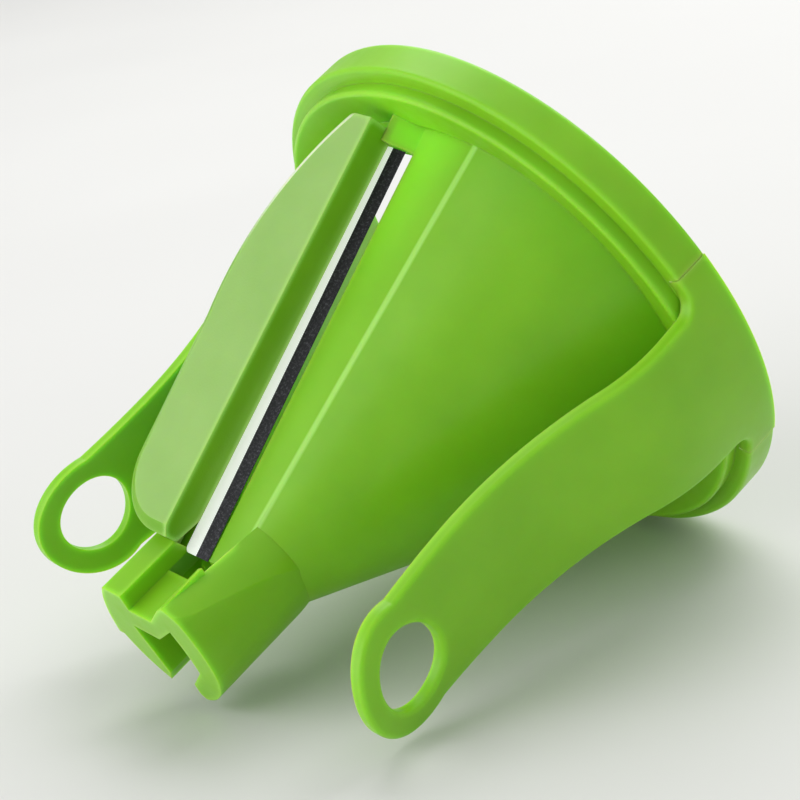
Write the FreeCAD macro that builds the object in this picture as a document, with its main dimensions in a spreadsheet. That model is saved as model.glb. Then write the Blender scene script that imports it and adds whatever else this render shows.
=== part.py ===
"""Cone cutter insert of a vegetable spiral slicer.

Frame: millimetres, +Z is the cone's axis, the mouth plane is z = 0 and the tip points up.
The blade lies on the -Y side, and the two clip arms are at +X and -X.
The blade frame is used for everything around the blade: its origin is on the cone's outer surface
at the mouth, local X runs across the blade, local Y runs up the cone's side, and local Z is height
above the side.
"""

import FreeCAD, Part
import math
import os
import Sketcher
from FreeCAD import Placement, Rotation, Vector

doc = FreeCAD.newDocument("cone_cutter")

DIMENSIONS = [
    ("rim_radius", 45.0, "outside of the rim band and of the arms' roots"),
    ("band_height", 6.05, "rim band and flange, from the mouth plane"),
    ("band_wall", 2.0, "wall of the rim band and of the clip arms"),
    ("band_edge", 0.6, "round on the band's outer edges"),
    ("flange_thickness", 2.0, "flange between the cone and the band"),
    ("flange_root", 35.0, "inner edge of the flange, inside the cone's wall"),
    ("step_radius", 42.4, "outside of the step on the flange"),
    ("step_height", 8.6, "edge of the step, from the mouth plane"),
    ("step_edge", 0.5, "round on the step's edge"),
    ("mouth_radius", 38.2, "cone, outside, at the mouth plane"),
    ("tip_radius", 6.0, "cone, outside, at its small end"),
    ("cone_length", 69.2, "mouth plane to the cone's small end"),
    ("cone_wall", 2.2, "cone wall, square to its surface"),
    ("facet_depth_mouth", 1.3, "flat beside the slot, depth at the mouth end"),
    ("facet_depth_tip", 0.7, "flat beside the slot, depth at the tip end"),
    ("facet_reach", 36.0, "cutter of the flat, across the side"),
    ("slot_start", 10.9, "slot, distance up the side of its mouth end"),
    ("slot_end", 79.0, "slot, distance up the side of its open end"),
    ("slot_edge_mouth", 1.1, "slot's free edge at the mouth end, from the axis plane"),
    ("slot_edge_tip", 1.9, "slot's free edge at the tip end, from the axis plane"),
    ("ramp_start", 6.4, "ramp beside the slot's mouth end, start of it up the side"),
    ("ramp_height", 1.9, "top of that ramp, above the blade"),
    ("bed_edge", 4.8, "edge of the blade bed over the slot"),
    ("bed_depth", 5.0, "blade bed, below the blade's top face"),
    ("blade_edge", 2.0, "cutting edge, from the axis plane"),
    ("blade_bevel", 4.2, "back of the ground bevel, from the axis plane"),
    ("blade_back", 11.4, "back of the blade, from the axis plane"),
    ("blade_thickness", 0.6, "blade"),
    ("blade_land", 0.06, "thickness left at the cutting edge"),
    ("blade_start", 11.1, "blade, mouth end, up the side"),
    ("blade_end", 76.8, "blade, tip end, up the side"),
    ("blade_shoulder", 69.0, "where the blade narrows, up the side"),
    ("blade_tongue", 6.8, "back edge of the blade's narrow end, from the axis plane"),
    ("blade_corner", 0.9, "round on that end's back corner"),
    ("seat_clearance", 0.05, "play around the blade in its seat"),
    ("peg_radius", 1.3, "staked pegs that hold the blade"),
    ("peg_height", 1.0, "pegs above the blade"),
    ("peg_offset", 8.9, "pegs, from the axis plane"),
    ("peg_low", 24.0, "lower peg, up the side"),
    ("peg_high", 62.0, "upper peg, up the side"),
    ("cover_start", 9.0, "cover, mouth end, up the side"),
    ("cover_end", 76.2, "cover, tip end, up the side"),
    ("cover_front_mouth", 5.3, "cover's wall beside the blade, mouth end"),
    ("cover_front_tip", 6.8, "cover's wall beside the blade, tip end"),
    ("cover_mouth_width", 5.4, "width of the cover at its mouth end"),
    ("cover_back", 20.0, "cover's straight back, from the axis plane"),
    ("cover_shoulder", 44.0, "where the curved back turns straight, up the side"),
    ("cover_swell", 52.0, "radius of the curved back"),
    ("cover_corner", 10.0, "radius of the cover's back corner at the tip end"),
    ("cover_height", 5.5, "cover, above the blade"),
    ("cover_wall", 1.5, "cover wall"),
    ("cover_nick", 4.2, "nick under the cover's wall at the tip end, along the wall"),
    ("cover_nick_height", 2.2, "height of that nick at the cover's end"),
    ("cover_bevel", 1.6, "bevel along the cover's back edge, across the top"),
    ("cover_bevel_drop", 1.0, "that bevel, down the wall"),
    ("arm_half_angle", 22.4, "joint line beside an arm's root, from the arm's middle"),
    ("arm_joint_gap", 0.06, "play at each joint line"),
    ("arm_straight", 12.5, "height where the strap leaves the rim's cylinder"),
    ("arm_first_bend", 30.0, "radius of the strap's first bend, towards the axis"),
    ("waist_radius", 36.8, "strap's outer face where it comes nearest to the axis"),
    ("waist_height", 52.0, "height where the strap comes nearest to the axis"),
    ("arm_end_bend", 150.0, "radius of the strap's last bend, away from the axis"),
    ("arm_edge", 0.7, "round on the strap's outer edges"),
    ("root_half_width", 12.0, "strap's half width just above the band"),
    ("root_fillet", 3.0, "fillet between the strap and the band"),
    ("neck_half_width", 9.5, "strap's half width where the ring end starts"),
    ("ring_height", 67.8, "centre of the ring end"),
    ("ring_radius", 9.9, "outside of the ring end"),
    ("ring_hole", 6.1, "hole in the ring end"),
    ("ring_reach", 36.6, "middle of the ring's wall, from the axis"),
    ("ring_tilt", 6.0, "tilt of the ring's hole, degrees"),
    ("ring_cut", 20.0, "length of the cutter of the ring's hole"),
    ("socket_start", 62.0, "tip socket, mouth end"),
    ("web_start", 73.2, "tip socket, start of the web between its walls"),
    ("overall_height", 81.6, "mouth plane to the socket's end face"),
    ("trim_start", 9.05, "radius that trims the prong at its foot"),
    ("trim_end", 12.2, "radius that trims the prong at its end"),
    ("lip_front", 11.0, "front lip of the prong, towards the blade side"),
    ("lip_side", 4.8, "front lip of the prong, to the side"),
    ("prong_outer", 8.7, "prong, outer face"),
    ("prong_inner", 3.9, "prong, inner face"),
    ("prong_back", 10.8, "prong, back end"),
    ("hook_side", 0.7, "end of the prong's hook, past the axis plane"),
    ("key_inner", 6.9, "key block, inner face"),
    ("key_outer", 15.6, "key block, outer face"),
    ("key_front", 8.3, "key block, front face"),
    ("key_back", 10.4, "key block, back edge"),
    ("key_ledge", 3.4, "height of the ledge on the key block's outer face, behind the axis"),
    ("key_ledge_depth", 1.2, "depth of that ledge"),
    ("web_front", 5.3, "front face of the web, in front of the axis"),
    ("web_back", 1.1, "back face of the web, in front of the axis"),
]

sheet = doc.addObject("Spreadsheet::Sheet", "Dims")
for row, (alias, value, meaning) in enumerate(DIMENSIONS, start=1):
    sheet.set("A%d" % row, meaning)
    sheet.set("B%d" % row, str(value))
    sheet.setAlias("B%d" % row, alias)
doc.recompute()

SLOPE = "((Dims.mouth_radius - Dims.tip_radius) / Dims.cone_length)"
SIDE_ANGLE = "atan%s" % SLOPE


def dim(alias):
    return float(sheet.get(alias))


# --- helpers --------------------------------------------------------------------------------------


def bind(obj, **expressions):
    """Drive properties by expressions; a double underscore stands for the dot of a sub-property."""
    for name, expression in expressions.items():
        obj.setExpression(name.replace("__", "."), expression)


def blade_frame():
    slope = (dim("mouth_radius") - dim("tip_radius")) / dim("cone_length")
    steepness = 90 - math.degrees(math.atan(slope))
    return Placement(Vector(0, -dim("mouth_radius"), 0), Rotation(Vector(1, 0, 0), steepness))


def put_on_blade_frame(obj):
    """Lay an object's own XY plane on the cone's side, with its Y axis running up the side."""
    obj.Placement = blade_frame()
    bind(
        obj,
        Placement__Base__y="-Dims.mouth_radius",
        Placement__Rotation__Angle="90 deg - %s" % SIDE_ANGLE,
    )


def new_body(name):
    return doc.addObject("PartDesign::Body", name)


def new_sketch(body, name, role, lift=None):
    """A sketch on one of the body's own origin planes, moved along its normal by lift."""
    sketch = body.newObject("Sketcher::SketchObject", name)
    plane = next(f for f in body.Origin.OriginFeatures if f.Role == role)
    sketch.AttachmentSupport = [(plane, "")]
    sketch.MapMode = "FlatFace"
    if lift is not None:
        sketch.setExpression("AttachmentOffset.Base.z", lift)
    doc.recompute()
    return sketch


def hold_point(sketch, edge, end, corner):
    """Hold one end of an edge at a corner that is given as two expressions."""
    for kind, axis, expression in (("DistanceX", -2, corner[0]), ("DistanceY", -1, corner[1])):
        value = float(sketch.evalExpression(expression))
        if abs(value) < 1e-9:
            sketch.addConstraint(Sketcher.Constraint("PointOnObject", edge, end, axis))
            continue
        index = sketch.addConstraint(Sketcher.Constraint(kind, -1, 1, edge, end, value))
        sketch.setExpression("Constraints[%d]" % index, expression)


def arc_between(start, finish, radius):
    """The short arc from start to finish: a positive radius bulges to the right of the way."""
    chord = finish - start
    rise = math.sqrt(radius * radius - chord.Length**2 / 4)
    left = Vector(-chord.y, chord.x, 0).normalize()
    sagitta = math.copysign(abs(radius) - rise, radius)
    return Part.Arc(start, (start + finish) / 2 - left * sagitta, finish)


def draw(sketch, corners, bends=None):
    """A closed outline through the corners; bends gives the radius of an edge that is an arc."""
    bends = bends or {}
    points = [
        Vector(*(float(sketch.evalExpression(part)) for part in corner), 0) for corner in corners
    ]
    for i, start in enumerate(points):
        following = (i + 1) % len(points)
        finish = points[following]
        ends = (1, 2)
        if i in bends:
            radius = float(sketch.evalExpression(bends[i]))
            edge = sketch.addGeometry(arc_between(start, finish, radius))
            # a sketch numbers an arc's ends counter-clockwise, so its first end can be either corner
            if (sketch.getPoint(edge, 1) - start).Length > 1e-4:
                ends = (2, 1)
            index = sketch.addConstraint(Sketcher.Constraint("Radius", edge, abs(radius)))
            sketch.setExpression("Constraints[%d]" % index, "abs(%s)" % bends[i])
        else:
            edge = sketch.addGeometry(Part.LineSegment(start, finish))
        hold_point(sketch, edge, ends[0], corners[i])
        hold_point(sketch, edge, ends[1], corners[following])
    doc.recompute()


def rectangle(left, right, low, high):
    return [(left, low), (right, low), (right, high), (left, high)]


def pad(body, sketch, name, length, down=False):
    feature = body.newObject("PartDesign::Pad", name)
    feature.Profile = sketch
    feature.Reversed = down
    bind(feature, Length=length)
    doc.recompute()
    return feature


def revolve(body, sketch, name, angle="360", about_middle=False):
    feature = body.newObject("PartDesign::Revolution", name)
    feature.Profile = sketch
    feature.ReferenceAxis = (sketch, ["V_Axis"])
    feature.Midplane = about_middle
    bind(feature, Angle=angle)
    doc.recompute()
    return feature


def pocket(body, sketch, name, depth=None, up=False):
    """Cut a sketch out of the body, through all of it unless a depth is given."""
    before = body.Shape.Volume
    feature = body.newObject("PartDesign::Pocket", name)
    feature.Profile = sketch
    feature.Reversed = up
    if depth is None:
        feature.Type = "ThroughAll"
    else:
        bind(feature, Length=depth)
    doc.recompute()
    if body.Shape.Volume > before - 1:
        raise SystemExit("%s cut nothing" % name)


def dress(body, kind, base, name, size, picks):
    """Fillet or chamfer the edges of a feature that picks says yes to."""
    feature = body.newObject("PartDesign::" + kind, name)
    edges = ["Edge%d" % (i + 1) for i, edge in enumerate(base.Shape.Edges) if picks(edge)]
    feature.Base = (base, edges)
    bind(feature, **{"Radius" if kind == "Fillet" else "Size": size})
    doc.recompute()
    return feature


def combine(kind, name, base, tool):
    feature = doc.addObject("Part::" + kind, name)
    feature.Base = base
    feature.Tool = tool
    doc.recompute()
    return feature


def join(name, pieces):
    feature = doc.addObject("Part::MultiFuse", name)
    feature.Shapes = pieces
    feature.Refine = True
    doc.recompute()
    return feature


def prism(name, role, corners, bends, start, length, down=False, tilted=False):
    """A prism on one of its own planes, in the blade frame if tilted."""
    body = new_body(name)
    if tilted:
        put_on_blade_frame(body)
    sketch = new_sketch(body, name + "_outline", role, lift=start)
    draw(sketch, corners, bends)
    pad(body, sketch, name + "_pad", length, down)
    return body


def cone(name, inset=None):
    """The cone's outside, or its inside at the given inset, run past both ends by a millimetre."""
    solid = doc.addObject("Part::Cone", name)
    bind(
        solid,
        Radius1="Dims.mouth_radius",
        Radius2="Dims.tip_radius",
        Height="Dims.cone_length",
    )
    if inset:
        bind(
            solid,
            Radius1="Dims.mouth_radius - %s + %s" % (inset, SLOPE),
            Radius2="Dims.tip_radius - %s - %s" % (inset, SLOPE),
            Height="Dims.cone_length + 2",
            Placement__Base__z="-1",
        )
    return solid


# --- cone body ------------------------------------------------------------------------------------

# the back of the blade bed and of the cover, in the blade frame, from the mouth end to the tip end
COVER_BACK = [
    ("Dims.cover_front_mouth + Dims.cover_mouth_width", "Dims.cover_start"),
    ("Dims.cover_back", "Dims.cover_shoulder"),
    ("Dims.cover_back", "Dims.cover_end - Dims.cover_corner"),
    ("Dims.cover_back - Dims.cover_corner", "Dims.cover_end"),
]
COVER_BENDS = {1: "Dims.cover_swell", 3: "Dims.cover_corner"}
BED_OUTLINE = (
    [("Dims.bed_edge", "Dims.cover_start")] + COVER_BACK + [("Dims.bed_edge", "Dims.cover_end")]
)


def flange():
    """Flange that joins the cone to the rim band; its dished top rises from the cone to a step."""
    body = new_body("flange")
    sketch = new_sketch(body, "flange_section", "XZ_Plane")
    underside = "Dims.band_height - Dims.flange_thickness"
    outside = "Dims.rim_radius - Dims.band_wall"
    draw(
        sketch,
        [
            ("Dims.flange_root", underside),
            (outside, underside),
            (outside, "Dims.band_height"),
            ("Dims.step_radius", "Dims.band_height"),
            ("Dims.step_radius", "Dims.step_height"),
            ("Dims.flange_root", "Dims.band_height"),
        ],
    )
    turned = revolve(body, sketch, "flange_turned")

    def on_step(edge):
        return edge.BoundBox.ZMin > dim("step_height") - 1e-3

    dress(body, "Fillet", turned, "flange_round", "Dims.step_edge", on_step)
    return body


def facet_cutter():
    """Wedge whose underside is the flat on the side: it leans from one depth to the other."""
    side_length = "(Dims.cone_length / cos(%s))" % SIDE_ANGLE
    return prism(
        "facet_cutter",
        "YZ_Plane",
        [
            ("0", "-Dims.facet_depth_mouth"),
            (side_length, "-Dims.facet_depth_tip"),
            (side_length, "Dims.facet_reach"),
            ("0", "Dims.facet_reach"),
        ],
        None,
        "Dims.bed_edge",
        "Dims.facet_reach",
        down=True,
        tilted=True,
    )


def ramp():
    """Ramp that rises out of the flange beside the slot's mouth end, up to the cover's wall."""
    return prism(
        "slot_ramp",
        "XZ_Plane",
        [
            ("Dims.slot_edge_mouth", "-Dims.facet_depth_mouth"),
            ("Dims.cover_front_mouth", "-Dims.facet_depth_mouth"),
            ("Dims.cover_front_mouth", "Dims.ramp_height"),
        ],
        None,
        "-Dims.ramp_start",
        "Dims.slot_start - Dims.ramp_start",
        down=True,
        tilted=True,
    )


def blade_bed():
    """Wing that carries the blade and the cover, flush with the cone's side along the slot."""
    return prism("blade_bed", "XY_Plane", BED_OUTLINE, COVER_BENDS, "0", "Dims.bed_depth", True, True)


def blade_seat():
    """Room for the blade in the bed's top face."""
    play = "Dims.seat_clearance"
    outline = rectangle(
        "0",
        "Dims.blade_back + %s" % play,
        "Dims.blade_start - %s" % play,
        "Dims.blade_end + %s" % play,
    )
    return prism(
        "blade_seat", "XY_Plane", outline, None, "0", "Dims.blade_thickness", True, True
    )


def blade_slot():
    """Opening that the cut strip passes through, open at the tip end."""
    outline = [
        ("Dims.slot_edge_mouth", "Dims.slot_start"),
        ("Dims.bed_edge", "Dims.slot_start"),
        ("Dims.bed_edge", "Dims.slot_end"),
        ("Dims.slot_edge_tip", "Dims.slot_end"),
    ]
    height = "Dims.ramp_height + 1"
    return prism(
        "blade_slot", "XY_Plane", outline, None, height, "%s + 3 * Dims.bed_depth" % height, True, True
    )


def peg(name):
    """Staked peg that stands on the bed through a hole in the blade."""
    solid = doc.addObject("Part::Cylinder", name + "_pin")
    root = dim("bed_depth") / 2
    bind(solid, Radius="Dims.peg_radius", Height="Dims.bed_depth / 2 + Dims.peg_height")
    spot = Vector(dim("peg_offset"), dim(name), -root)
    solid.Placement = blade_frame().multiply(Placement(spot, Rotation()))
    return solid


def cone_body():
    """Cone with its flange, blade slot, flat, blade bed and pegs."""
    faceted = combine("Cut", "faceted_cone", cone("cone_outside"), facet_cutter())
    solid = join("cone_and_bed", [faceted, flange(), blade_bed(), ramp()])
    inside = cone("cone_inside", "(Dims.cone_wall / cos(%s))" % SIDE_ANGLE)
    hollow = combine("Cut", "cone_hollowed", solid, inside)
    slotted = combine("Cut", "cone_slotted", hollow, blade_slot())
    seated = combine("Cut", "cone_seated", slotted, blade_seat())
    body = join("cone_with_pegs", [seated, peg("peg_low"), peg("peg_high")])
    body.Label = "cone_body"
    return body


# --- rim band and arms ----------------------------------------------------------------------------


def rim_band(name, side):
    """Half of the rim band, between the two arms; side is -1 at the front and +1 at the back."""
    body = new_body(name)
    sketch = new_sketch(body, name + "_section", "YZ_Plane")
    faces = ["%d * (Dims.rim_radius - Dims.band_wall)" % side, "%d * Dims.rim_radius" % side]
    draw(sketch, rectangle(*faces, "0", "Dims.band_height"))
    play = "(2 * Dims.arm_joint_gap / Dims.rim_radius * 180 / pi)"
    span = "180 - 2 * Dims.arm_half_angle - %s" % play
    turned = revolve(body, sketch, name + "_turned", span, about_middle=True)

    def outside(edge):
        level = edge.BoundBox.ZLength < 1e-3
        reach = min(Vector(v.X, v.Y, 0).Length for v in edge.Vertexes)
        return level and reach > dim("rim_radius") - 1e-3

    dress(body, "Fillet", turned, name + "_round", "Dims.band_edge", outside)
    body.Label = name
    return body


def strap(name):
    """The arm's wall, turned about the cone's axis like the band that it grows from."""
    rise = "(Dims.waist_height - Dims.arm_straight)"
    lean = "(2 * atan((Dims.rim_radius - Dims.waist_radius) / %s))" % rise
    back_bend = "(%s / sin%s - Dims.arm_first_bend)" % (rise, lean)
    turn_radius = "Dims.rim_radius - Dims.arm_first_bend * (1 - cos%s)" % lean
    turn_height = "Dims.arm_straight + Dims.arm_first_bend * sin%s" % lean
    top = "(Dims.ring_height + Dims.ring_radius + 1)"
    end_run = "sqrt(Dims.arm_end_bend^2 - (%s - Dims.waist_height)^2)" % top
    end_radius = "Dims.waist_radius + Dims.arm_end_bend - %s" % end_run
    wall = "Dims.band_wall"
    inner_rim = "Dims.rim_radius - %s" % wall
    body = new_body(name)
    sketch = new_sketch(body, name + "_section", "XZ_Plane")
    draw(
        sketch,
        [
            (inner_rim, "0"),
            ("Dims.rim_radius", "0"),
            ("Dims.rim_radius", "Dims.arm_straight"),
            (turn_radius, turn_height),
            ("Dims.waist_radius", "Dims.waist_height"),
            (end_radius, top),
            ("%s - %s" % (end_radius, wall), top),
            ("Dims.waist_radius - %s" % wall, "Dims.waist_height"),
            (
                "%s - %s * cos%s" % (turn_radius, wall, lean),
                "%s - %s * sin%s" % (turn_height, wall, lean),
            ),
            (inner_rim, "Dims.arm_straight"),
        ],
        {
            2: "Dims.arm_first_bend",
            3: "-%s" % back_bend,
            4: "-Dims.arm_end_bend",
            6: "Dims.arm_end_bend",
            7: "(%s + %s)" % (back_bend, wall),
            8: "-(Dims.arm_first_bend - %s)" % wall,
        },
    )
    revolve(body, sketch, name + "_turned", "2 * Dims.arm_half_angle", about_middle=True)
    return body


def arm_view(name):
    """Front view of an arm: root, fillets, slowly narrowing strap and round end."""
    neck = "Dims.ring_height - sqrt(Dims.ring_radius^2 - Dims.neck_half_width^2)"
    right = [
        ("Dims.rim_radius", "0"),
        ("Dims.rim_radius", "Dims.band_height"),
        ("Dims.root_half_width + Dims.root_fillet", "Dims.band_height"),
        ("Dims.root_half_width", "Dims.band_height + Dims.root_fillet"),
        ("Dims.neck_half_width", neck),
    ]
    end = ("0", "Dims.ring_height + Dims.ring_radius")
    left = [("-(%s)" % across, up) for across, up in reversed(right)]
    bends = {
        2: "-Dims.root_fillet",
        4: "Dims.ring_radius",
        5: "Dims.ring_radius",
        7: "-Dims.root_fillet",
    }
    return prism(name, "YZ_Plane", right + [end] + left, bends, "0", "Dims.rim_radius + 1")


def ring_hole(name):
    """Cutter of the hole in an arm's ring end."""
    hole = doc.addObject("Part::Cylinder", name)
    bind(hole, Radius="Dims.ring_hole", Height="Dims.ring_cut")
    across = Rotation(Vector(0, 1, 0), 90 + dim("ring_tilt"))
    middle = Vector(dim("ring_reach"), 0, dim("ring_height"))
    back = across.multVec(Vector(0, 0, dim("ring_cut") / 2))
    hole.Placement = Placement(middle - back, across)
    return hole


def clip_arm(name, turn):
    """One arm with its ring end; turn swings it about the cone's axis."""
    shaped = combine("Common", name + "_shape", strap(name + "_strap"), arm_view(name + "_view"))
    drilled = combine("Cut", name + "_drilled", shaped, ring_hole(name + "_hole"))
    arm = doc.addObject("Part::Fillet", name + "_rounded")
    arm.Base = drilled

    def outer(edge):
        """Edges of the outer face, from the root's fillet to the ring end."""
        middle = edge.valueAt((edge.FirstParameter + edge.LastParameter) / 2)
        inner = Vector(middle.x, middle.y, 0).Length
        above = middle.z > dim("band_height") + 0.1
        return above and drilled.Shape.isInside(middle, 1e-3, True) and inner > outer_radius(middle.z)

    rounded = [
        (i + 1, dim("arm_edge"), dim("arm_edge"))
        for i, edge in enumerate(drilled.Shape.Edges)
        if outer(edge)
    ]
    arm.Edges = rounded
    arm.Placement = Placement(Vector(), Rotation(Vector(0, 0, 1), turn))
    arm.Label = name
    doc.recompute()
    return arm


def outer_radius(height):
    """A radius inside the strap's wall at a height, to tell its outer edges from its inner ones."""
    rise = dim("waist_height") - dim("arm_straight")
    lean = 2 * math.atan((dim("rim_radius") - dim("waist_radius")) / rise)
    first = dim("arm_first_bend")
    back = rise / math.sin(lean) - first
    above = height - dim("arm_straight")
    if above <= 0:
        outside = dim("rim_radius")
    elif above < first * math.sin(lean):
        outside = dim("rim_radius") - first + math.sqrt(first**2 - above**2)
    elif height < dim("waist_height"):
        below = dim("waist_height") - height
        outside = dim("waist_radius") + back - math.sqrt(back**2 - below**2)
    else:
        past = height - dim("waist_height")
        bend = dim("arm_end_bend")
        outside = dim("waist_radius") + bend - math.sqrt(bend**2 - past**2)
    return outside - dim("band_wall") / 2


# --- blade and cover ------------------------------------------------------------------------------


def blade():
    """Straight steel blade with a ground bevel, two holes for the pegs and a narrower tip end."""
    body = prism(
        "steel_blade",
        "XZ_Plane",
        [
            ("Dims.blade_edge", "-Dims.blade_thickness"),
            ("Dims.blade_back", "-Dims.blade_thickness"),
            ("Dims.blade_back", "0"),
            ("Dims.blade_bevel", "0"),
            ("Dims.blade_edge", "Dims.blade_land - Dims.blade_thickness"),
        ],
        None,
        "-Dims.blade_start",
        "Dims.blade_end - Dims.blade_start",
        down=True,
        tilted=True,
    )
    holes = new_sketch(body, "blade_holes", "XY_Plane", lift="1")
    for name in ("peg_low", "peg_high"):
        centre = Vector(dim("peg_offset"), dim(name), 0)
        circle = holes.addGeometry(Part.Circle(centre, Vector(0, 0, 1), dim("peg_radius")))
        hold_point(holes, circle, 3, ("Dims.peg_offset", "Dims." + name))
        size = holes.addConstraint(Sketcher.Constraint("Radius", circle, dim("peg_radius")))
        bind(holes, **{"Constraints[%d]" % size: "Dims.peg_radius + Dims.seat_clearance"})
    doc.recompute()
    pocket(body, holes, "blade_drilled")

    shoulder = new_sketch(body, "blade_shoulder", "XY_Plane", lift="1")
    draw(
        shoulder,
        [
            ("Dims.blade_tongue", "Dims.blade_shoulder"),
            ("Dims.blade_back + 1", "Dims.blade_shoulder"),
            ("Dims.blade_back + 1", "Dims.blade_end + 1"),
            ("Dims.blade_tongue - Dims.blade_corner", "Dims.blade_end + 1"),
            ("Dims.blade_tongue - Dims.blade_corner", "Dims.blade_end"),
            ("Dims.blade_tongue", "Dims.blade_end - Dims.blade_corner"),
        ],
        {4: "-Dims.blade_corner"},
    )
    pocket(body, shoulder, "blade_narrowed")
    body.Label = "blade"
    return body


def cover():
    """Shell over the blade's back: a flat top, walls down to the bed and a bevelled back edge.

    The wall beside the blade is nicked underneath at the tip end, where the blade's end looks out.
    """
    body = new_body("cover_shell")
    put_on_blade_frame(body)
    outline = new_sketch(body, "cover_outline", "XY_Plane")
    front = [("Dims.cover_front_tip", "Dims.cover_end"), ("Dims.cover_front_mouth", "Dims.cover_start")]
    draw(outline, COVER_BACK + front, {0: COVER_BENDS[1], 2: COVER_BENDS[3]})
    block = pad(body, outline, "cover_block", "Dims.cover_height")

    def on_back_edge(edge):
        box = edge.BoundBox
        on_top = box.ZMin > dim("cover_height") - 1e-3
        return on_top and box.XMax > dim("cover_back") - 1e-3

    bevel = dress(body, "Chamfer", block, "cover_bevelled", "Dims.cover_bevel", on_back_edge)
    bevel.ChamferType = "Two distances"
    bind(bevel, Size2="Dims.cover_bevel_drop")
    bevel.FlipDirection = True
    doc.recompute()

    inner = new_sketch(body, "cover_inside", "XY_Plane")
    wall = "Dims.cover_wall"
    low_end = "Dims.cover_start + 2 * %s" % wall
    draw(
        inner,
        [
            ("Dims.cover_front_mouth + %s" % wall, low_end),
            ("Dims.cover_front_mouth + Dims.cover_mouth_width - 0.6 * %s" % wall, low_end),
            ("Dims.cover_back - %s" % wall, "Dims.cover_shoulder"),
            ("Dims.cover_back - %s" % wall, "Dims.cover_end - Dims.cover_corner"),
            ("Dims.cover_back - Dims.cover_corner", "Dims.cover_end - %s" % wall),
            ("Dims.cover_front_tip + %s" % wall, "Dims.cover_end - %s" % wall),
        ],
        {1: "Dims.cover_swell", 3: "Dims.cover_corner - %s" % wall},
    )
    pocket(body, inner, "cover_hollow", "Dims.cover_height - %s" % wall, up=True)

    nick = new_sketch(body, "cover_nick", "YZ_Plane", lift="Dims.cover_front_mouth - 1")
    draw(
        nick,
        [
            ("Dims.cover_end - Dims.cover_nick", "0"),
            ("Dims.cover_end + 1", "0"),
            ("Dims.cover_end + 1", "Dims.cover_nick_height"),
            ("Dims.cover_end", "Dims.cover_nick_height"),
        ],
    )
    nick_depth = "Dims.cover_front_tip - Dims.cover_front_mouth + %s + 1" % wall
    pocket(body, nick, "cover_nicked", nick_depth, up=True)
    body.Label = "blade_cover"
    return body


# --- tip socket -----------------------------------------------------------------------------------


def socket_block(name, corners, bends, start):
    """A prism of part of the socket's section, from height start to the end face."""
    return prism(name, "XY_Plane", corners, bends, start, "Dims.overall_height - %s" % start)


def prong():
    """Hooked wall of the socket, on the free side of the slot; its foot lies on the cone."""
    block = socket_block(
        "prong_block",
        [
            ("-Dims.lip_side", "-Dims.lip_front"),
            ("1 - Dims.prong_inner", "-Dims.web_front"),
            ("-Dims.prong_inner", "3.2"),
            ("Dims.hook_side", "Dims.prong_back - 2.8"),
            ("Dims.hook_side", "Dims.prong_back - 0.9"),
            ("Dims.hook_side - 1.3", "Dims.prong_back"),
            ("-Dims.prong_outer", "2"),
            ("0.8 - Dims.prong_outer", "2.4 - Dims.lip_front"),
        ],
        {1: "-24", 4: "1.2", 5: "13", 6: "22", 7: "4"},
        "Dims.socket_start",
    )
    trim = doc.addObject("Part::Cone", "prong_trim")
    bind(
        trim,
        Radius1="Dims.trim_start",
        Radius2="Dims.trim_end",
        Height="Dims.overall_height - Dims.socket_start",
        Placement__Base__z="Dims.socket_start",
    )
    return combine("Common", "prong", block, trim)


def key_block():
    """Solid wall of the socket, behind the blade, with the ledge that keys it in the slicer."""
    return socket_block(
        "key_block",
        [
            ("Dims.key_inner", "-Dims.key_front"),
            ("Dims.key_outer - 4.4", "-Dims.key_front"),
            ("Dims.key_outer", "Dims.key_ledge"),
            ("Dims.key_outer - Dims.key_ledge_depth", "Dims.key_ledge"),
            ("Dims.key_inner + 0.9", "Dims.key_back"),
            ("Dims.key_inner", "Dims.key_back - 1.8"),
            ("Dims.key_inner + 1.9", "-Dims.web_back"),
            ("Dims.key_inner", "-Dims.web_front"),
        ],
        {1: "20", 3: "14"},
        "Dims.socket_start",
    )


def socket_web():
    """Web that joins the two walls near the end and is the channel's floor there."""
    return socket_block(
        "socket_web",
        [
            ("-Dims.lip_side", "-Dims.lip_front"),
            ("1.4 - Dims.lip_side", "0.8 - Dims.lip_front"),
            ("1.7", "-Dims.web_front"),
            ("Dims.key_inner", "-Dims.web_front"),
            ("Dims.key_inner + 1.9", "-Dims.web_back"),
            ("2.5", "-Dims.web_back"),
            ("1 - Dims.prong_inner", "-Dims.web_front"),
            ("-Dims.lip_side", "-7"),
        ],
        None,
        "Dims.web_start",
    )


def tip_socket():
    """Split, keyed sleeve on the cone's small end: two thick walls joined by a web."""
    blank = join("socket_blank", [prong(), key_block(), socket_web()])
    over = "Dims.cover_height + Dims.bed_depth"
    bed_room = prism(
        "bed_room", "XY_Plane", BED_OUTLINE, COVER_BENDS, over, "%s + Dims.bed_depth" % over, True, True
    )
    room = join("socket_room", [cone("cone_tip"), bed_room])
    socket = combine("Cut", "socket_fitted", blank, room)
    socket.Label = "tip_socket"
    return socket


# --- the whole part -------------------------------------------------------------------------------


def check(parts):
    """Stop if any object failed or any sub-part isn't a valid solid."""
    doc.recompute()
    bad = [o.Name for o in doc.Objects if {"Invalid", "Error"} & set(o.State)]
    for part in parts:
        shape = part.Shape
        if shape.isNull() or not shape.isValid() or len(shape.Solids) != 1:
            bad.append(part.Label)
        else:
            print("%-12s %8.1f mm3" % (part.Label, shape.Volume))
    if bad:
        raise SystemExit("failed objects: %s" % ", ".join(bad))


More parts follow.
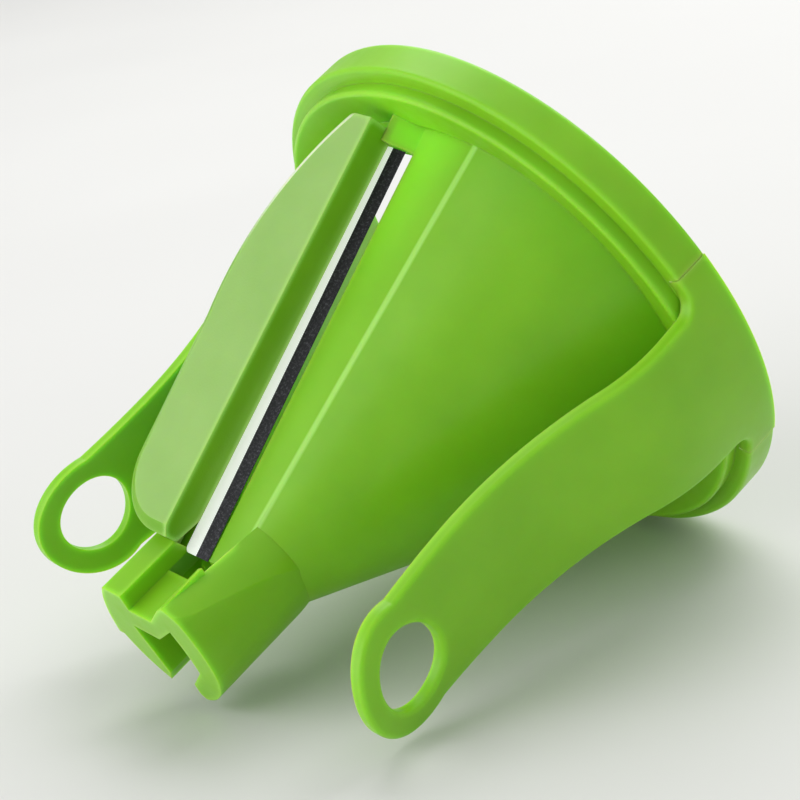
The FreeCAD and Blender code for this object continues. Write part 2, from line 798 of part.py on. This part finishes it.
parts = [
    cone_body(),
    rim_band("front_band", -1),
    rim_band("back_band", 1),
    clip_arm("left_arm", 180),
    clip_arm("right_arm", 0),
    blade(),
    cover(),
    tip_socket(),
]
check(parts)
os.makedirs("parts", exist_ok=True)
for part in parts:
    part.Shape.exportStep("parts/%s.step" % part.Label)
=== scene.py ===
"""Looks of the cone cutter insert: green moulded plastic, a paler cover and a steel blade.

Metres, in the CAD's frame: +Z is the cone's axis, the blade is on the -Y side and the clip arms
are at +X and -X. The cutter lies on its side on a pale table, so the table is a tilted plane.
"""

import math

import bpy
from mathutils import Matrix, Vector


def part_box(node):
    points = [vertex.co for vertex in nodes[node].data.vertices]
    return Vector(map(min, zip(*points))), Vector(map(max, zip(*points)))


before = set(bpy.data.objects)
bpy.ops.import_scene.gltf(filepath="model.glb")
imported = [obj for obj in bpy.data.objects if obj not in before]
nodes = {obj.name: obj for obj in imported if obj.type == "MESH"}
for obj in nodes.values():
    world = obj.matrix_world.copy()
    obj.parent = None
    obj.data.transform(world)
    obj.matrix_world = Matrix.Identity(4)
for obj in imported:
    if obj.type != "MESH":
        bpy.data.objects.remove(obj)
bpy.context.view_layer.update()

MM = 0.001
X = Vector((1, 0, 0))
Y = Vector((0, 1, 0))
Z = Vector((0, 0, 1))

# --- camera ---------------------------------------------------------------------------------------

VIEW_AZIMUTH = math.radians(-49.34)
VIEW_ELEVATION = math.radians(21.87)
VIEW_ROLL = math.radians(135.67)
VIEW_DISTANCE = 0.3713
AIM = Vector((-0.1, -2.5, 30.8)) * MM
LENS = 112.4
SENSOR_WIDTH = 36


def view_axes():
    """The view's right, up and backward directions."""
    back = Vector(
        (
            math.sin(VIEW_AZIMUTH) * math.cos(VIEW_ELEVATION),
            -math.cos(VIEW_AZIMUTH) * math.cos(VIEW_ELEVATION),
            math.sin(VIEW_ELEVATION),
        )
    )
    level_right = Z.cross(back).normalized()
    turn = Matrix.Rotation(-VIEW_ROLL, 3, back)
    right = turn @ level_right
    return right, back.cross(right), back


RIGHT, UP, BACK = view_axes()


def in_view(right, up, back):
    """A direction given in the view's own axes."""
    return RIGHT * right + UP * up + BACK * back


def add_camera():
    """The camera as solved from the photograph."""
    camera = bpy.data.objects.new("camera", bpy.data.cameras.new("camera"))
    bpy.context.scene.collection.objects.link(camera)
    turn = Matrix((RIGHT, UP, BACK)).transposed().to_4x4()
    camera.matrix_world = Matrix.Translation(AIM + BACK * VIEW_DISTANCE) @ turn
    camera.data.lens = LENS
    camera.data.sensor_width = SENSOR_WIDTH
    bpy.context.scene.camera = camera


# --- node helpers ---------------------------------------------------------------------------------


class Graph:
    """A short way to build a material's node tree."""

    def __init__(self, name):
        self.material = bpy.data.materials.new(name)
        self.material.use_nodes = True
        self.tree = self.material.node_tree
        self.shader = self.tree.nodes["Principled BSDF"]

    def add(self, kind, settings=None, **inputs):
        """A new node, with its own settings and with values or sockets for its inputs."""
        node = self.tree.nodes.new("ShaderNode" + kind)
        for key, value in (settings or {}).items():
            setattr(node, key, value)
        for key, value in inputs.items():
            self.feed(node, key.replace("_", " "), value)
        return node

    def feed(self, node, key, value):
        """Give an input, by name or number, a value, or link it to a socket."""
        socket = node.inputs[key]
        if isinstance(value, bpy.types.NodeSocket):
            self.tree.links.new(value, socket)
        else:
            socket.default_value = value

    def position(self):
        return self.add("NewGeometry").outputs["Position"]

    def vector_math(self, operation, *values):
        node = self.add("VectorMath", {"operation": operation})
        for index, value in enumerate(values):
            self.feed(node, index, value)
        return node

    def along(self, direction):
        """Distance of the shaded point from the origin, measured along a direction."""
        return self.vector_math("DOT_PRODUCT", self.position(), direction).outputs["Value"]

    def facing(self, direction):
        """Cosine of the angle between the surface and a direction."""
        normal = self.add("NewGeometry").outputs["True Normal"]
        return self.vector_math("DOT_PRODUCT", normal, direction).outputs["Value"]

    def from_axis(self):
        """Distance of the shaded point from the cone's axis."""
        flat = self.vector_math("MULTIPLY", self.position(), (1, 1, 0))
        return self.vector_math("LENGTH", flat.outputs["Vector"]).outputs["Value"]

    def noise(self, scale, detail=2.0, roughness=0.5, vector=None):
        node = self.add("TexNoise", Scale=scale, Detail=detail, Roughness=roughness)
        self.tree.links.new(vector or self.position(), node.inputs["Vector"])
        return node.outputs["Fac"]

    def spread(self, value, low, high, start=0.3, end=0.7):
        """Map start..end to low..high and hold it beyond; the defaults suit a noise texture."""
        node = self.add(
            "MapRange", Value=value, From_Min=start, From_Max=end, To_Min=low, To_Max=high
        )
        return node.outputs["Result"]

    def math(self, operation, a, b):
        node = self.add("Math", {"operation": operation})
        self.feed(node, 0, a)
        self.feed(node, 1, b)
        return node.outputs[0]

    def cloud(self, scale, first, second):
        """Soft patches of two colours."""
        return self.blend(self.spread(self.noise(scale), 0, 1), first, second)

    def blend(self, factor, first, second):
        """A colour from first, where the factor is 0, to second, where it is 1."""
        node = self.add("Mix", {"data_type": "RGBA"})
        self.tree.links.new(factor, node.inputs["Factor"])
        for name, value in (("A", first), ("B", second)):
            socket = [s for s in node.inputs if s.name == name and s.type == "RGBA"][0]
            if isinstance(value, bpy.types.NodeSocket):
                self.tree.links.new(value, socket)
            else:
                socket.default_value = (*value, 1)
        return [s for s in node.outputs if s.type == "RGBA"][0]

    def bump(self, height, distance):
        """Surface relief."""
        node = self.add("Bump", Height=height, Distance=distance, Strength=1.0)
        self.feed(self.shader, "Normal", node.outputs["Normal"])
        return node


# --- materials ------------------------------------------------------------------------------------

# green plastic: its patches, then painted light: a painted glow along edges and at the slot's end,
# and painted highlights along the crease and the arm joints
GREEN = ((0.225, 0.54, 0.013), (0.255, 0.585, 0.018))
# painted glow along outer edges, for light that comes back out of the plastic
GREEN_PAINTED_EDGE_GLOW = (0.32, 0.70, 0.04)
# painted glow at the slot's mouth end, for light through thin plastic
GREEN_PAINTED_SLOT_GLOW = (0.34, 0.85, 0.032)
# painted highlight along the crease beside the slot
GREEN_PAINTED_CREASE_HIGHLIGHT = (0.40, 0.74, 0.14)
# painted highlight along the joints between the arms' roots and the bands
JOINT_PAINTED_HIGHLIGHT = (0.72, 0.96, 0.45)

# cover: its face with a painted sheen, its walls in painted shade, the painted glow along its edges
# and a painted highlight on the bevel near the mouth
COVER_FACE_PAINTED_SHEEN = ((0.29, 0.52, 0.125), (0.33, 0.56, 0.15))
COVER_WALL_PAINTED_SHADE = ((0.17, 0.43, 0.010), (0.20, 0.47, 0.013))
COVER_PAINTED_EDGE_GLOW = (0.40, 0.70, 0.16)
# painted highlight on the cover's bevel near the mouth
COVER_BEVEL_PAINTED_HIGHLIGHT = (0.76, 0.86, 0.58)

# blade: its flat, near-white as a painted reflection of the white studio, its ground bevel, dark
# partly from its ground finish and partly as a painted dark reflection, and how bright the painted
# glow of the studio in the flat is
STEEL_FLAT_PAINTED_REFLECTION = ((0.97, 0.97, 0.98), (1, 1, 1))
STEEL_GROUND_AND_PAINTED_DARK_REFLECTION = ((0.02, 0.02, 0.022), (0.09, 0.09, 0.10))
STUDIO_GLOW = 0.18
BEVEL_WIDTH = 2.2 * MM

TABLE_TONE = ((0.715, 0.715, 0.70), (0.735, 0.735, 0.72))

# how round edges are, how wide the painted glow along them is and how far light wanders
EDGE_ROUND = 0.3 * MM
EDGE_GLOW_DEPTH = 1.1 * MM
GLOW_REACH = 3.0 * MM
GLOW_REACH_AT_JOINT = 0.2 * MM
CLOUD_SCALE = 90
TABLE_CLOUD_SCALE = 6

# the cone's side under the blade: its direction up the side and its outward direction
SIDE_ANGLE = math.radians(24.95)
MOUTH_RADIUS = 38.2 * MM
SIDE_UP = Vector((0, math.sin(SIDE_ANGLE), math.cos(SIDE_ANGLE)))
SIDE_OUT = Vector((0, -math.cos(SIDE_ANGLE), math.sin(SIDE_ANGLE)))
SIDE_FOOT = Vector((0, -MOUTH_RADIUS, 0))
SKIN_DEPTH = 2.0 * MM

# the crease beside the slot: its distance from the axis plane, and how that falls up the side
CREASE_START = 10.5 * MM
CREASE_NARROWING = 0.0965
CREASE_END_RADIUS = 35.5 * MM

BAND_INSIDE = 43.05 * MM
ARM_HALF_ANGLE = math.radians(22.4)


def clear_of_rim_joint(graph):
    """0 where the bands meet the flange in one smooth face, and 1 elsewhere."""
    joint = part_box("front_band")[1].z
    radius = graph.math("SUBTRACT", graph.from_axis(), BAND_INSIDE)
    beside = graph.spread(graph.math("ABSOLUTE", radius, 0), 0, 1, 0.5 * MM, 0.65 * MM)
    above = graph.spread(graph.along(Z), 0, 1, joint + 0.3 * MM, joint + 0.5 * MM)
    return graph.math("MAXIMUM", beside, above)


def clear_of_foot(graph):
    """0 where the tip socket grows out of the cone, and 1 further up."""
    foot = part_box("tip_socket")[0].z
    return graph.spread(graph.along(Z), 0, 1, foot + 4 * MM, foot + 6 * MM)


def clear_of_both_joints(graph):
    """0 where the cone meets the bands and the tip socket in one smooth face, and 1 elsewhere."""
    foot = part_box("tip_socket")[0].z
    below = graph.spread(graph.along(Z), 1, 0, foot - 4 * MM, foot - 2 * MM)
    return graph.math("MULTIPLY", clear_of_rim_joint(graph), below)


def at_painted_edge_glow(graph):
    """1 along outer edges, where a paler colour is painted as glow from light that wanders in the
    plastic and comes out, and 0 elsewhere.
    """
    settings = {"inside": True, "only_local": True, "samples": 8}
    depth = graph.add("AmbientOcclusion", settings, Distance=EDGE_GLOW_DEPTH)
    return graph.spread(depth.outputs["AO"], 1, 0, 0.55, 0.92)


def outside_cone(graph):
    """1 on the outer skin of the cone's side under the blade, and 0 inside the cone."""
    skin = SIDE_OUT.dot(SIDE_FOOT) - SKIN_DEPTH
    return graph.spread(graph.along(SIDE_OUT), 0, 1, skin - 0.2 * MM, skin)


def at_painted_crease_highlight(graph):
    """1 along the crease between the cone and the flat beside the slot, where a highlight is
    painted, and 0 elsewhere.
    """
    lean = X - SIDE_UP * CREASE_NARROWING
    offset = CREASE_START + CREASE_NARROWING * SIDE_UP.dot(SIDE_FOOT)
    away = graph.math("ABSOLUTE", graph.math("ADD", graph.along(lean), offset), 0)
    line = graph.spread(away, 1, 0, 0.30 * MM, 0.65 * MM)
    flange = CREASE_END_RADIUS
    off_flange = graph.spread(graph.from_axis(), 1, 0, flange, flange + 0.3 * MM)
    return graph.math("MULTIPLY", graph.math("MULTIPLY", line, outside_cone(graph)), off_flange)


def near_slot_end_painted_glow(graph):
    """1 at the slot's mouth end, where a glow is painted for light through thin plastic, and 0 away
    from it.
    """
    up_side = graph.math("SUBTRACT", graph.along(SIDE_UP), SIDE_UP.dot(SIDE_FOOT))
    fading_up = graph.spread(up_side, 1, 0, 11 * MM, 34 * MM)
    fading_down = graph.spread(up_side, 0, 1, 3 * MM, 8 * MM)
    beside_slot = graph.spread(graph.along(X), 0, 1, -9 * MM, 1 * MM)
    before_cover = graph.spread(graph.along(X), 1, 0, 5 * MM, 15 * MM)
    place = outside_cone(graph)
    for fading in (fading_up, fading_down, beside_slot, before_cover):
        place = graph.math("MULTIPLY", place, fading)
    return place


def at_arm_joint_painted_highlight(graph):
    """1 beside the thin joints between the arms' roots and the bands, where a highlight is painted,
    and 0 elsewhere.
    """
    over = graph.math("ABSOLUTE", graph.along(X), 0)
    aside = graph.math("ABSOLUTE", graph.along(Y), 0)
    rise = graph.math("MULTIPLY", over, math.sin(ARM_HALF_ANGLE))
    fall = graph.math("MULTIPLY", aside, math.cos(ARM_HALF_ANGLE))
    away = graph.math("ABSOLUTE", graph.math("SUBTRACT", rise, fall), 0)
    return graph.spread(away, 1, 0, 0.12 * MM, 0.32 * MM)


def soften_edges(graph, bump, clear):
    """Moulded edges are slightly round, which catches light; clear is where they may be."""
    edge = graph.add("Bevel", {"samples": 6}, Radius=EDGE_ROUND).outputs["Normal"]
    if clear:
        mix = graph.add("Mix", {"data_type": "VECTOR"})
        graph.tree.links.new(clear, mix.inputs["Factor"])
        plain, softened = [socket for socket in mix.inputs if socket.type == "VECTOR"][-2:]
        graph.tree.links.new(graph.add("NewGeometry").outputs["Normal"], plain)
        graph.tree.links.new(edge, softened)
        edge = [socket for socket in mix.outputs if socket.type == "VECTOR"][0]
    graph.tree.links.new(edge, bump.inputs["Normal"])


def moulded_plastic(graph, colour, painted_edge_glow_colour, roughness, grain, grain_depth, glow, clear=None):
    """Translucent plastic with a fine grain, round edges and a painted glow along them."""
    shader = graph.shader
    # painted glow: a paler colour along outer edges
    edges = at_painted_edge_glow(graph)
    if clear:
        edges = graph.math("MULTIPLY", edges, clear)
    graph.feed(shader, "Base Color", graph.blend(edges, colour, painted_edge_glow_colour))
    unevenness = graph.spread(graph.noise(400, detail=3.0), -0.05, 0.05)
    graph.feed(shader, "Roughness", graph.math("ADD", roughness, unevenness))
    shader.inputs["IOR"].default_value = 1.49
    shader.inputs["Specular IOR Level"].default_value = 0.36
    shader.inputs["Subsurface Weight"].default_value = glow
    shader.inputs["Subsurface Radius"].default_value = (0.5, 1.0, 0.12)
    reach = GLOW_REACH
    if clear:
        reach = graph.spread(clear, GLOW_REACH_AT_JOINT, GLOW_REACH, 0, 1)
    graph.feed(shader, "Subsurface Scale", reach)
    bump = graph.bump(graph.noise(grain), grain_depth)
    soften_edges(graph, bump, clear)
    return graph.material


def green_plastic(name, joint=None, marks=()):
    """Green plastic, with a colour of its own at each mark.

    joint mutes the painted edge glow and the rounding where two nodes are one moulding on the real
    thing.
    """
    graph = Graph(name)
    colour = graph.cloud(CLOUD_SCALE, *GREEN)
    for place, tint in marks:
        colour = graph.blend(place(graph), colour, tint)
    clear = joint(graph) if joint else None
    return moulded_plastic(graph, colour, GREEN_PAINTED_EDGE_GLOW, 0.36, 1800, 0.010 * MM, 0.8, clear)


def cover_plastic():
    """The cover's face has a matte grain and a paler painted sheen; its walls are a deeper green as
    painted shade.
    """
    graph = Graph("cover_plastic")
    turned_out = graph.facing(SIDE_OUT)
    on_face = graph.spread(turned_out, 0, 1, 0.85, 0.95)
    on_bevel = graph.math("SUBTRACT", graph.spread(turned_out, 0, 1, 0.4, 0.5), on_face)
    near_mouth = graph.spread(graph.along(Z), 1, 0, 22 * MM, 34 * MM)
    # painted sheen on the face and painted shade on the walls of one green plastic
    face = graph.cloud(CLOUD_SCALE, *COVER_FACE_PAINTED_SHEEN)
    wall = graph.cloud(CLOUD_SCALE, *COVER_WALL_PAINTED_SHADE)
    colour = graph.blend(on_face, wall, face)
    # painted highlight on the bevel near the mouth
    colour = graph.blend(graph.math("MULTIPLY", on_bevel, near_mouth), colour, COVER_BEVEL_PAINTED_HIGHLIGHT)
    roughness = graph.spread(on_face, 0.38, 0.58, 0, 1)
    return moulded_plastic(graph, colour, COVER_PAINTED_EDGE_GLOW, roughness, 2600, 0.02 * MM, 0.5)


def blade_steel():
    """Steel flat brought to near-white as a painted reflection of the white studio, with a ground
    bevel along the cutting edge that is dark partly from its finish and partly as a painted dark
    reflection.

    A little glow on the flat stands for the white studio that polished steel would mirror.
    """
    graph = Graph("blade_steel")
    shader = graph.shader
    bevel_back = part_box("blade")[0].x + BEVEL_WIDTH
    blur = 0.05 * MM
    on_bevel = graph.spread(graph.along(X), 1, 0, bevel_back - blur, bevel_back + blur)
    stretch = graph.add("Mapping", Vector=graph.position(), Scale=(1, 30, 14))
    scratches = graph.noise(160, 4.0, 0.7, stretch.outputs["Vector"])
    specks = graph.noise(2600, 4.0, 0.8)
    # near-white flat: painted reflection of the white studio; dark ground bevel: its finish and a
    # painted dark reflection
    flat = graph.blend(graph.spread(scratches, 0, 1), *STEEL_FLAT_PAINTED_REFLECTION)
    ground = graph.blend(graph.spread(specks, 0, 1, 0.5, 0.75), *STEEL_GROUND_AND_PAINTED_DARK_REFLECTION)
    graph.feed(shader, "Base Color", graph.blend(on_bevel, flat, ground))
    graph.feed(shader, "Metallic", graph.spread(on_bevel, 0.05, 0.9, 0, 1))
    shader.inputs["Emission Color"].default_value = (1, 1, 1, 1)
    graph.feed(shader, "Emission Strength", graph.spread(on_bevel, STUDIO_GLOW, 0, 0, 1))
    graph.feed(shader, "Roughness", graph.spread(on_bevel, 0.5, 0.35, 0, 1))
    graph.bump(scratches, 0.004 * MM)
    return graph.material


def table_surface():
    """Pale matte table that is seen only from above, so that it hides nothing from below."""
    graph = Graph("table_surface")
    shader = graph.shader
    graph.feed(shader, "Base Color", graph.cloud(TABLE_CLOUD_SCALE, *TABLE_TONE))
    shader.inputs["Roughness"].default_value = 0.6
    shader.inputs["Specular IOR Level"].default_value = 0.2
    clear = graph.add("BsdfTransparent")
    side = graph.add("NewGeometry")
    mix = graph.add("MixShader")
    graph.tree.links.new(side.outputs["Backfacing"], mix.inputs[0])
    graph.tree.links.new(shader.outputs[0], mix.inputs[1])
    graph.tree.links.new(clear.outputs[0], mix.inputs[2])
    output = graph.tree.nodes["Material Output"]
    graph.tree.links.new(mix.outputs[0], output.inputs["Surface"])
    return graph.material


def dress_nodes():
    """Give every CAD node its material."""
    # painted glow at the slot's end
    slot_end = (near_slot_end_painted_glow, GREEN_PAINTED_SLOT_GLOW)
    # painted highlight along the crease
    crease = (at_painted_crease_highlight, GREEN_PAINTED_CREASE_HIGHLIGHT)
    # painted highlight along the arm joints
    arm_joint = (at_arm_joint_painted_highlight, JOINT_PAINTED_HIGHLIGHT)
    arm = green_plastic("arm_plastic", None, [arm_joint])
    materials = {
        "cone_body": green_plastic("cone_plastic", clear_of_both_joints, [slot_end, crease]),
        "front_band": green_plastic("front_band_plastic", clear_of_rim_joint, [arm_joint]),
        "back_band": green_plastic("back_band_plastic", clear_of_rim_joint, [arm_joint]),
        "left_arm": arm,
        "right_arm": arm,
        "tip_socket": green_plastic("socket_plastic", clear_of_foot),
        "blade_cover": cover_plastic(),
        "blade": blade_steel(),
    }
    for name, node in nodes.items():
        node.data.materials.clear()
        node.data.materials.append(materials[name])


# --- table and light ------------------------------------------------------------------------------

TABLE_UP = Vector((0.15, -0.91, -0.39)).normalized()
TABLE_SIZE = 4.0


def turn_towards(direction, up):
    """A rotation whose Z axis is direction and whose Y axis is as near up as it can be."""
    z = direction.normalized()
    x = up.cross(z).normalized()
    return Matrix((x, z.cross(x), z)).transposed()


def add_table():
    """The table touches the cutter's lowest point, measured along the table's own normal."""
    lowest = min(TABLE_UP.dot(v.co) for node in nodes.values() for v in node.data.vertices)
    half = TABLE_SIZE / 2
    mesh = bpy.data.meshes.new("table")
    corners = [(-half, -half, 0), (half, -half, 0), (half, half, 0), (-half, half, 0)]
    mesh.from_pydata(corners, [], [(0, 1, 2, 3)])
    table = bpy.data.objects.new("table", mesh)
    bpy.context.scene.collection.objects.link(table)
    turn = turn_towards(TABLE_UP, Z).to_4x4()
    table.matrix_world = Matrix.Translation(TABLE_UP * lowest) @ turn
    mesh.materials.append(table_surface())


def add_soft_box(name, direction, distance, width, height, power):
    """Area light that faces the middle of the cutter from a direction given in the view's axes."""
    light = bpy.data.lights.new(name, "AREA")
    light.shape = "RECTANGLE"
    light.size = width
    light.size_y = height
    light.energy = power
    lamp = bpy.data.objects.new(name, light)
    bpy.context.scene.collection.objects.link(lamp)
    towards = in_view(*direction).normalized()
    turn = turn_towards(towards, UP).to_4x4()
    lamp.matrix_world = Matrix.Translation(AIM + towards * distance) @ turn


def add_lights():
    """A big soft key overhead, a card at the left for the blade's side and a weak front fill."""
    add_soft_box("key", (0.12, 0.92, -0.25), distance=1.1, width=1.3, height=1.0, power=11.0)
    add_soft_box("left_card", (-0.88, 0.02, 0.46), distance=1.2, width=1.7, height=1.4, power=12.6)
    add_soft_box("front_fill", (0.35, 0.45, 0.85), distance=1.3, width=0.9, height=0.9, power=0.6)


def add_world():
    """Even light from all round, and plain colours in the picture."""
    world = bpy.data.worlds.new("studio")
    world.use_nodes = True
    background = world.node_tree.nodes["Background"]
    background.inputs["Color"].default_value = (0.90, 0.90, 0.89, 1)
    background.inputs["Strength"].default_value = 0.49
    bpy.context.scene.world = world
    bpy.context.scene.view_settings.view_transform = "Standard"


# --- the whole scene ------------------------------------------------------------------------------

add_camera()
dress_nodes()
add_table()
add_lights()
add_world()
